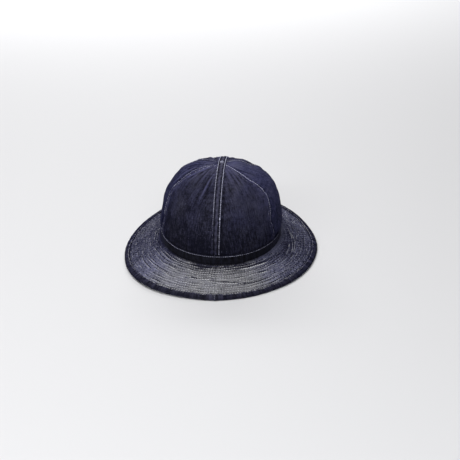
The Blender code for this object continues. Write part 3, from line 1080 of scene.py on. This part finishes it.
def brim_wear_and_shading(angle, out, row, x, y):
    """How pale the brim is, from wear and from painted light and shade: over its whole face, from row
    to row, beside the band, and on its lines and join.
    """
    pale, left = paleness(angle), np.sin(angle)
    phase, number = np.clip(row, 0, ROWS - 1) % 1, row_number(row)
    wear_and_shading = 0.03 + 0.74 * pale + 0.04 * ripples(76, 0.025, x, y)
    # a painted lighter belt across the middle of the front brim, and painted shade on its inner part
    # beside the band
    wear_and_shading += pale * (0.14 * bell(out, 30 * MM, 12 * MM) - 0.36 * (1 - smooth(8 * MM, 22 * MM, out)))
    # painted shade of the band and crown on the brim next to the band, strongest at the front, turned
    # into painted light on the wearer's left
    shade = 0.40 - 0.18 * smooth(0.3, 0.9, np.abs(left)) - 0.62 * smooth(0.3, 0.9, left)
    wear_and_shading -= shade * (1 - smooth(1 * MM, (12 + 2 * (1 - pale)) * MM, out))
    wear_and_shading -= 0.25 * (1 - pale) * smooth(ROWS - 1.2, ROWS - 0.9, row)
    # painted highlight outside each row and painted shade inside the next one, as on lit cords and
    # shaded grooves, with painted light and shade on the crinkles between them
    cords = (0.07 + 0.50 * row_shows(angle, number)) * bell(phase, 0.26, 0.19)
    cords -= (0.07 + 1.00 * row_shows(angle, number + 1)) * bell(phase, 0.84, 0.16)
    cords += 0.10 * ripples(77, 4.4 * MM, out, angle * (HALF_WIDTH + out) * 0.07)
    wear_and_shading += (0.30 + pale) * cords
    wear_and_shading += (0.48 - 0.30 * pale) * crinkle(angle, number) * np.sin(math.pi * phase)
    # painted shade in the creases, a paler streak just inside each loose thread, and painted groove
    # shade just outside it
    wear_and_shading -= 0.9 * beside_lines(angle, out, 1.4 * MM, False)
    wear_and_shading += 0.4 * beside_lines(angle, out - 0.6 * MM, 1.1 * MM, True)
    wear_and_shading -= 0.8 * beside_lines(angle, out + 2.2 * MM, 1.3 * MM, True)
    blotches = 0.9 + 0.6 * ripples(79, 4 * MM, x, y)
    return wear_and_shading + 0.50 * beside_join(angle, out, 2.6 * MM) * blotches * smooth(20 * MM, 38 * MM, out)


# the paleness at the front is partly wear and partly painted front light
print("at the front the brim has gone pale by", round(float(paleness(0.0)), 2))

# %% Brim halves
CORD_STEPS, INNER_STEPS, OUTER_STEPS = 6, 3, 3
HALF_COLUMNS = 520


def brim_half(name, first, last):
    rows = INNER_STEPS + CORD_STEPS * (ROWS - 1) + OUTER_STEPS
    mesh, across, inward = flat_grid(name, HALF_COLUMNS, rows)
    slack = CLEARANCE / 2 / HALF_LENGTH
    angle = first + slack + (last - first - 2 * slack) * across
    step = (1 - inward) * rows
    row = (step - INNER_STEPS) / CORD_STEPS
    inside = -PANEL_WALL + (FIRST_ROW + PANEL_WALL) * step / INNER_STEPS
    final = row_place(angle, np.full_like(angle, ROWS - 1.0))
    outside = final + (brim_reach(angle) - final) * (row - ROWS + 1) * CORD_STEPS / OUTER_STEPS
    out = np.where(row < 0, inside, np.where(row > ROWS - 1, outside, row_place(angle, row)))
    height = cord_height(angle, row) - 0.5 * MM * beside_join(angle, out, 1.2 * MM)
    points, _ = brim_at(angle, out, height)
    x, y, _ = plan_at(angle, out).T
    ahead = np.cos(angle)
    aged = 1.15 * smooth(0.45, 0.95, paleness(angle))
    aged += (0.4 * np.clip(ahead, 0, 1) - 0.32 * (1 - ahead)) * np.sin(angle)
    add_values(mesh, "aged", aged)
    cloth_piece(
        "dressed_" + name, mesh, points, (x, y), brim_wear_and_shading(angle, out, row, x, y), BRIM_WALL,
        brim_denim, [name],
    )


brim_half("brim_left", BRIM_JOIN, math.pi)
brim_half("brim_right", -math.pi, BRIM_JOIN)

# %% [markdown]
# ## The binding
# The edge is closed by a strip folded over it. Seen in section it is a U: a leg under the brim,
# a round edge and a leg on top. It is pressed flat on the floor where the hat rests, and its
# ends lap over each other at the front.

# %% Binding section
PRESSED = 0.5 * MM
BINDING_ROW = 1.2 * MM
EDGE_RADIUS, SECTION_LENGTH = 125 * MM, 19 * MM
LEG_SHARE = 0.27
BINDING_SECTION = [
    # place round the U, from the under leg's edge (0) to the top leg's edge (1)
    # share of the leg still to go, turn round the edge in degrees
    (0.00, 1.0, 0.0),
    (LEG_SHARE, 0.0, 0.0),
    (1 - LEG_SHARE, 0.0, 180.0),
    (1.00, 1.0, 180.0),
]


def binding_width(angle):
    uneven = ring_ripples(81, 7, angle) + ring_ripples(86, 90, angle)
    return binding_leg(angle) * (1 + 0.04 * uneven)


def binding_relief(angle, place):
    """Puckers along the stitching, in metres."""
    fine = 0.19 * ring_ripples(82, 150, angle) + 0.12 * ring_ripples(87, 240, angle)
    fine += 0.16 * ring_ripples(83, 52, angle)
    return fine * (0.3 + 0.7 * read_table(BINDING_SECTION, place)) * MM


def binding_surface(angle, place):
    reach, width = brim_reach(angle), binding_width(angle)
    leg = read_table(BINDING_SECTION, place)
    turn = np.radians(read_table(BINDING_SECTION, place, 2))
    back = leg * width
    half = BRIM_WALL / 2 + BINDING_WALL + CLEARANCE + PRESSED + binding_relief(angle, place)
    half -= 0.35 * MM * bell(back, width - BINDING_ROW, 0.8 * MM) * (leg > 0)
    half -= 0.25 * MM * smooth(0.8, 1.0, leg)
    half += 0.5 * MM * beside_join(angle, 0.0, 3.0 * MM)
    normal = brim_normal(angle, reach - back)
    outward = unit(brim_plain(angle, reach) - brim_plain(angle, reach - 4 * MM))
    middle = brim_plain(angle, reach - back) - normal * (BRIM_WALL / 2)
    way = outward * np.sin(turn)[..., None] - normal * np.cos(turn)[..., None]
    return raised(middle, way, half)


width = float(binding_width(BRIM_JOIN)) / MM
print("at the front the binding reaches", round(width, 1), "mm in from the edge")

# %% Binding
BINDING_GRID = (840, 20)
END_RISE, END_SHARE = 0.30 * MM, 0.012
mesh, across, along = flat_grid("brim_binding", *BINDING_GRID)
angle = BRIM_JOIN + TURN * across
points, normal = binding_surface(angle, along)
over = END_RISE * (0.5 - smooth(0.0, END_SHARE, np.minimum(across, 1 - across)))
points, _ = raised(points, normal, np.where(across < 0.5, over, -over))
wear_and_shading = 0.24 + 0.24 * bell(along, 0.50, 0.05) - 0.12 * bell(along, 0.62, 0.06)
wear_and_shading += 0.42 * binding_relief(angle, along) / (0.3 * MM) + 0.07 * ring_ripples(84, 60, angle)
wear_and_shading += 0.50 * beside_join(angle, 0.0, 3.0 * MM, -0.5 * MM) * (along > 0.4)
add_values(mesh, "aged", 0.6 * paleness(angle))
points[:, 2] -= np.minimum(laid(points)[:, 2], 0)
cloth_piece(
    "dressed_binding", mesh, points, (angle * EDGE_RADIUS, along * SECTION_LENGTH), wear_and_shading,
    BINDING_WALL, edge_denim, ["brim_binding"],
)

# %% [markdown]
# ## Thread as geometry
# A stitch is a short arch of thread that dives into the cloth at both ends. A whole row is one
# tube that rises and dips: a grid is rolled up round the row's path, its long edges are merged,
# and the two ends are drawn to a point. Rows that run right round join end to end instead. No
# two stitches are equally clean, so each takes its own share of soil.

# %% One row of stitches
SAMPLES, SIDES = 5, 6


def evenly(points, normals, spacing):
    """Resamples a path to even steps, with its normals."""
    steps = np.linalg.norm(np.diff(points, axis=0), axis=1)
    length = np.concatenate([[0], np.cumsum(steps)])
    at = np.linspace(0, length[-1], max(2, round(length[-1] / spacing)) + 1)

    def read(values):
        return np.stack([np.interp(at, length, values[:, axis]) for axis in range(3)], -1)

    return read(points), unit(read(normals))


def stitched_tube(path, normals, stitch, thick, samples, sides, loop, sink):
    """Rings of points along a row of stitches, shape (path, ring, 3)."""
    points, normals = evenly(path, normals, stitch / samples)
    count = (len(points) - 1) // samples * samples
    points, normals = points[: count + 1], normals[: count + 1]
    phase = np.arange(count + 1) / samples % 1
    arch = 1 - np.abs(2 * phase - 1) ** 3
    height = (arch * (0.7 + sink) - sink) * thick
    tangent = unit(np.gradient(points, axis=0))
    if loop:
        points[-1], normals[-1] = points[0], normals[0]
        tangent[0] = tangent[-1] = unit(tangent[0] + tangent[-1])
    across = unit(np.cross(tangent, normals))
    radius = thick / 2 * (0.72 + 0.28 * arch)
    if not loop:
        radius[0] = radius[-1] = 0.0
    turn = TURN * np.arange(sides + 1) / sides
    ring = normals[:, None] * np.cos(turn)[:, None] * 0.85 + across[:, None] * np.sin(turn)[:, None]
    return points[:, None] + normals[:, None] * height[:, None, None] + ring * radius[:, None, None]


print("each stitch is made of", SAMPLES * SIDES, "small faces")


# %% Sewing helper
def sew(
    name, rows, material, samples=SAMPLES, sides=SIDES, stitch=2.9 * MM, sink=0.75, mixed=0.11
):
    """One object from many rows. A row is (path, normals, thick, soil, loop)."""
    work = bmesh.new()
    soil_and_shade_layer = work.verts.layers.float.new("soil_and_shade")
    rng = np.random.default_rng(len(rows))
    for path, normals, thick, soil_and_shade, loop in rows:
        rings = laid(stitched_tube(path, normals, stitch, thick, samples, sides, loop, sink))
        steps = len(rings) - 1
        dirt_and_shade = np.interp(np.linspace(0, 1, steps + 1), np.linspace(0, 1, len(soil_and_shade)), soil_and_shade)
        dirt_and_shade += rng.normal(0, mixed, steps // samples + 1)[np.arange(steps + 1) // samples]
        made = bmesh.ops.create_grid(work, x_segments=steps, y_segments=sides, size=0.5)["verts"]
        for vert in made:
            step, side = round((vert.co.x + 0.5) * steps), round((vert.co.y + 0.5) * sides)
            vert.co = rings[step, side]
            vert[soil_and_shade_layer] = dirt_and_shade[step]
        bmesh.ops.remove_doubles(work, verts=made, dist=1e-7)
    bmesh.ops.recalc_face_normals(work, faces=work.faces)
    dressed(name, as_mesh(work, name), material, [])


print("sewing helper ready")

# %% [markdown]
# ## Stitching on the crown
# Two rows hold the felled seam down, two rows hold each lap, and one row runs round the top of
# the band. The pale thread is darker low on the crown, and the band's row is darker at both sides.

# %% Crown stitching
THICK = 0.62 * MM
LAP_STITCHED = (float(climb_at(BAND_HEIGHT)) + 0.01, 0.93)


def fell_row(side):
    way = np.linspace(-1.0, 1.0, 900)
    across = np.full_like(way, side)
    return fell_surface(across, way, fell_lift(across, way))


def lap_row(which, away):
    climb = np.linspace(*LAP_STITCHED, 500)
    angle = seam_angle(which, climb)
    for _ in range(3):
        turn = LAPPING_SIDE[which] * away / span_per_turn(angle, climb)
        angle = seam_angle(which, climb) + turn
    return crown_surface(angle, climb)


# how dark the thread is along a row: over the top from the front, up from the foot, or round from the
# back
FELL_THREAD_DARKNESS = (
    (1.0, 0.9, 0.45, 0.3, 0.25, 0.2, 0.2, 0.3, 0.4, 0.4, 0.6),
    (0.5, 0.3, 0.15, 0.05, 0.0, 0.1, 0.2, 0.3, 0.4, 0.4, 0.6),
)
LAP_THREAD_DARKNESS = {
    FORE_LEFT: ((0.85, 0.75, 0.35, 0.05, 0.0), (1.1, 1.0, 0.9, 0.9, 0.9)),
    AFT_LEFT: ((0.6, 0.5, 0.4, 0.5), (0.9, 0.8, 0.8, 0.8)),
    AFT_RIGHT: ((0.6, 0.6, 0.6, 0.7), (0.9, 0.9, 0.8, 0.9)),
    FORE_RIGHT: ((0.95, 0.80, 0.72, 0.66, 0.58), (1.1, 0.95, 0.86, 0.78, 0.70)),
}
BAND_THREAD_DARKNESS = (0.6, 0.6, 0.8, 1.05, 0.65, 0.5, 0.5, 0.5, 0.6, 1.05, 0.8, 0.6, 0.6)
rows = [(*fell_row(side), THICK, soil_and_shade, False) for side, soil_and_shade in zip(FELL_ROWS, FELL_THREAD_DARKNESS)]
for which, row_darkness in LAP_THREAD_DARKNESS.items():
    thick = 1.6 * THICK if which == FORE_RIGHT else THICK
    for away, soil_and_shade in zip(LAP_ROWS, row_darkness):
        rows.append((*lap_row(which, away), thick, soil_and_shade, False))
turn = whole_turn(1500)
ring = band_surface(turn, np.full_like(turn, BAND_HEIGHT - BAND_ROW))
rows.append((*ring, 0.85 * THICK, BAND_THREAD_DARKNESS, True))
sew("crown_stitching", rows, seam_cotton)

# %% [markdown]
# ## Bar and knot
# At the tip a few stitches across the felled seam hold all the edges together, and one thread
# end on the seam was tied off with a small knot. The bar is sewn like the rows, and the knot is
# a small ball, roughened with the same ripples as the cloth.

# %% Bar and knot
BAR_PLACES, BAR_HALF = (-0.037, -0.023, -0.009, 0.005), 3.4 * MM
KNOT_RADIUS, KNOT_LIFT, KNOT_CLIMB = 0.85 * MM, 1.2 * MM, 0.30

bar_rows = []
for place in BAR_PLACES:
    across = np.linspace(-BAR_HALF, BAR_HALF, 60)
    way = np.full_like(across, place)
    bar = fell_surface(across, way, fell_lift(across, way))
    bar_rows.append((*bar, 0.7 * MM, (0.5, 0.35, 0.6), False))
sew("tip_bar", bar_rows, seam_cotton, stitch=6.8 * MM)

ball = bmesh.new()
bmesh.ops.create_icosphere(ball, subdivisions=3, radius=KNOT_RADIUS)
knot_way = -(1 - KNOT_CLIMB) / (1 - FELL_END)
spot, _ = fell_surface(*np.array([[FELL_ROWS[1]], [knot_way], [KNOT_LIFT]]))
for vert in ball.verts:
    x, y, z = vert.co
    vert.co *= 1 + 0.16 * float(ripples(58, 0.9 * MM, x, y, z))
bmesh.ops.translate(ball, verts=ball.verts, vec=Vector(laid(spot)[0]))
dressed("thread_knot", as_mesh(ball, "thread_knot"), seam_cotton, [])

# %% [markdown]
# ## Stitching on the brim
# Fourteen rows go right round the brim, on top and underneath, and one more row holds the
# binding. The same helper sews them all. Some stretches of a row stand out and others nearly
# vanish, so the darkness of each row rises and falls on its own. The thread is paler at the front,
# partly from wear and partly with the brim's painted front light, and takes painted shade on the
# first row beside the band and on the inner rows on the wearer's left, beside the crown.

# %% Brim stitching
BRIM_THICK, BRIM_STITCH = 0.58 * MM, 3.4 * MM
turn, around = whole_turn(1600), whole_turn(180)
pale, left = paleness(around), np.sin(around)
top_rows, under_rows = [], []
for number in range(ROWS):
    row, row_around = np.full_like(turn, float(number)), np.full_like(around, float(number))
    path, normals = brim_at(turn, row_place(turn, row), cord_height(turn, row))
    # paler where the brim is pale, which is partly painted front light
    soil_and_shade = 1.08 - 0.64 * pale - (0.30 + 0.30 * pale) * row_shows(around, row_around)
    # painted shade on the first row beside the band and on the inner rows on the wearer's left, beside
    # the crown
    soil_and_shade += 0.4 * (number == 0) + 0.4 * smooth(0.5, 0.9, left) * (number < 5)
    soil_and_shade -= 0.5 * (number == ROWS - 1) * bell(around, math.radians(-27), 0.30)
    soil_and_shade += 0.7 * beside_lines(around, row_place(around, row_around), 1.8 * MM, True)
    top_rows.append((path, normals, BRIM_THICK, soil_and_shade, True))
    under_rows.append((path - normals * (BRIM_WALL + 0.05 * MM), -normals, BRIM_THICK, soil_and_shade, True))
for rows, end in ((top_rows, 1.0), (under_rows, 0.0)):
    place = 0.5 + (end - 0.5) * (1 - 2 * LEG_SHARE * BINDING_ROW / binding_width(turn))
    soil_and_shade = 0.75 + 0.2 * ring_ripples(88, 6, around)
    rows.append((*binding_surface(turn, place), BRIM_THICK, soil_and_shade, True))
for at, place, to, end_place, tone in BRIM_LINES:
    if tone > 0:
        bare_turn = np.linspace(math.radians(at), math.radians(to), 120)
        place = np.linspace(place, end_place, 120) * MM
        bare = brim_at(bare_turn, place, np.full(120, 0.85 * MM))
        soil_and_shade = 1.0 - tone * np.array((0.1, 1.0, 0.9, 1.1, 0.1))
        top_rows.append((*bare, (0.45 + 0.60 * tone) * MM, soil_and_shade, False))
sew(
    "brim_stitching_top", top_rows, brim_cotton,
    samples=4, sides=5, stitch=BRIM_STITCH, sink=1.0, mixed=0.14,
)
sew(
    "brim_stitching_under", under_rows, brim_cotton,
    samples=3, sides=4, stitch=BRIM_STITCH,
)

# %% [markdown]
# ## The join at the front
# The brim's halves and the binding's ends meet at the front. Two short rows of thread run a
# finger's width up the brim there, one on each side of the join, and a third crosses the edge.

# %% Front join
out = np.linspace(0.0, 1.0, 80)
join_rows = []
for shift, soil_and_shade in ((-1.1, (1.0, 0.6, 0.4, 0.2, 0.5)), (1.1, (1.1, 0.8, 0.5, 0.4, 0.3))):
    angle = np.full_like(out, BRIM_JOIN + shift * MM / HALF_LENGTH)
    place = brim_reach(angle) - 20 * MM + 15 * MM * out
    join_rows.append((*brim_at(angle, place, 0.25 * MM + 0 * place), 0.6 * MM, soil_and_shade, False))
over_edge = binding_surface(np.full_like(out, BRIM_JOIN), 1.0 - 0.6 * out)
join_rows.append((*over_edge, 0.5 * MM, (0.7, 0.8, 0.9, 1.0), False))
sew("front_join_stitching", join_rows, brim_cotton)

# %% [markdown]
# ## Floor, light and camera
# The floor is one large pale sheet. A soft light hangs overhead, a little to the front and to
# the wearer's right, so the brim and the top of the crown are bright and the foot of the crown
# is dark. Two more hang over the floor behind the hat and in front of it, and hardly reach it.

# %% Floor
material, shader = start_material("pale_paper")
shader.inputs["Base Color"].default_value = (0.745, 0.745, 0.758, 1.0)
shader.inputs["Roughness"].default_value = 0.9
ground = bmesh.new()
bmesh.ops.create_grid(ground, x_segments=4, y_segments=4, size=6.0)
floor = in_scene("floor", as_mesh(ground, "floor"))
floor.data.materials.append(material)
print("floor", floor.dimensions[:2])


# %% Lights
def area_light(name, place, target, size, watts, color):
    light = bpy.data.lights.new(name, "AREA")
    light.shape = "RECTANGLE"
    light.size, light.size_y = size
    light.energy = watts
    light.color = color
    holder = in_scene(name, light)
    holder.location = place
    holder.rotation_euler = (Vector(target) - Vector(place)).to_track_quat("-Z", "Y").to_euler()


area_light("overhead", (-0.50, -0.28, 1.92), (0, 0, 0.05), (1.2, 1.2), 28.0, (1.0, 0.995, 0.985))
area_light("behind", (-0.55, 2.3, 1.6), (-0.55, 2.2, 0), (2.8, 1.0), 57.5, (1.0, 1.0, 1.0))
area_light("in_front", (-0.25, -1.60, 1.1), (-0.25, -1.50, 0), (2.0, 0.4), 19.5, (0.98, 0.99, 1.0))
world = bpy.data.worlds.new("studio")
world.use_nodes = True
sky = world.node_tree.nodes["Background"].inputs
sky["Color"].default_value = (0.93, 0.95, 1.0, 1.0)
sky["Strength"].default_value = 0.10
bpy.context.scene.world = world
bpy.context.scene.view_settings.view_transform = "Standard"
print("three soft lights and a dim sky")

# %% Camera
AZIMUTH, ELEVATION, DISTANCE = math.radians(5.0), math.radians(26.3), 1.3
FOCAL_PIXELS, IMAGE, SENSOR = 911.6, 460, 36.0
PLACE_IN_IMAGE = (221.2, 230.7)

toward = np.array([
    math.sin(AZIMUTH) * math.cos(ELEVATION),
    -math.cos(AZIMUTH) * math.cos(ELEVATION),
    math.sin(ELEVATION),
])
toward = LEAN @ toward
up = LEAN @ np.array([0.0, 0, 1])
right = unit(np.cross(up, toward))
above = np.cross(toward, right)
lens = bpy.data.cameras.new("camera")
lens.sensor_width = SENSOR
lens.lens = FOCAL_PIXELS * SENSOR / IMAGE
lens.shift_x = (IMAGE / 2 - PLACE_IN_IMAGE[0]) / IMAGE
lens.shift_y = (PLACE_IN_IMAGE[1] - IMAGE / 2) / IMAGE
camera = in_scene("camera", lens)
camera.matrix_world = Matrix.Translation(FOOT + toward * DISTANCE) @ Matrix(
    np.column_stack([right, above, toward]).tolist()
).to_4x4()
bpy.context.scene.camera = camera
print("camera", [round(value, 3) for value in camera.location], "lens", round(lens.lens, 1))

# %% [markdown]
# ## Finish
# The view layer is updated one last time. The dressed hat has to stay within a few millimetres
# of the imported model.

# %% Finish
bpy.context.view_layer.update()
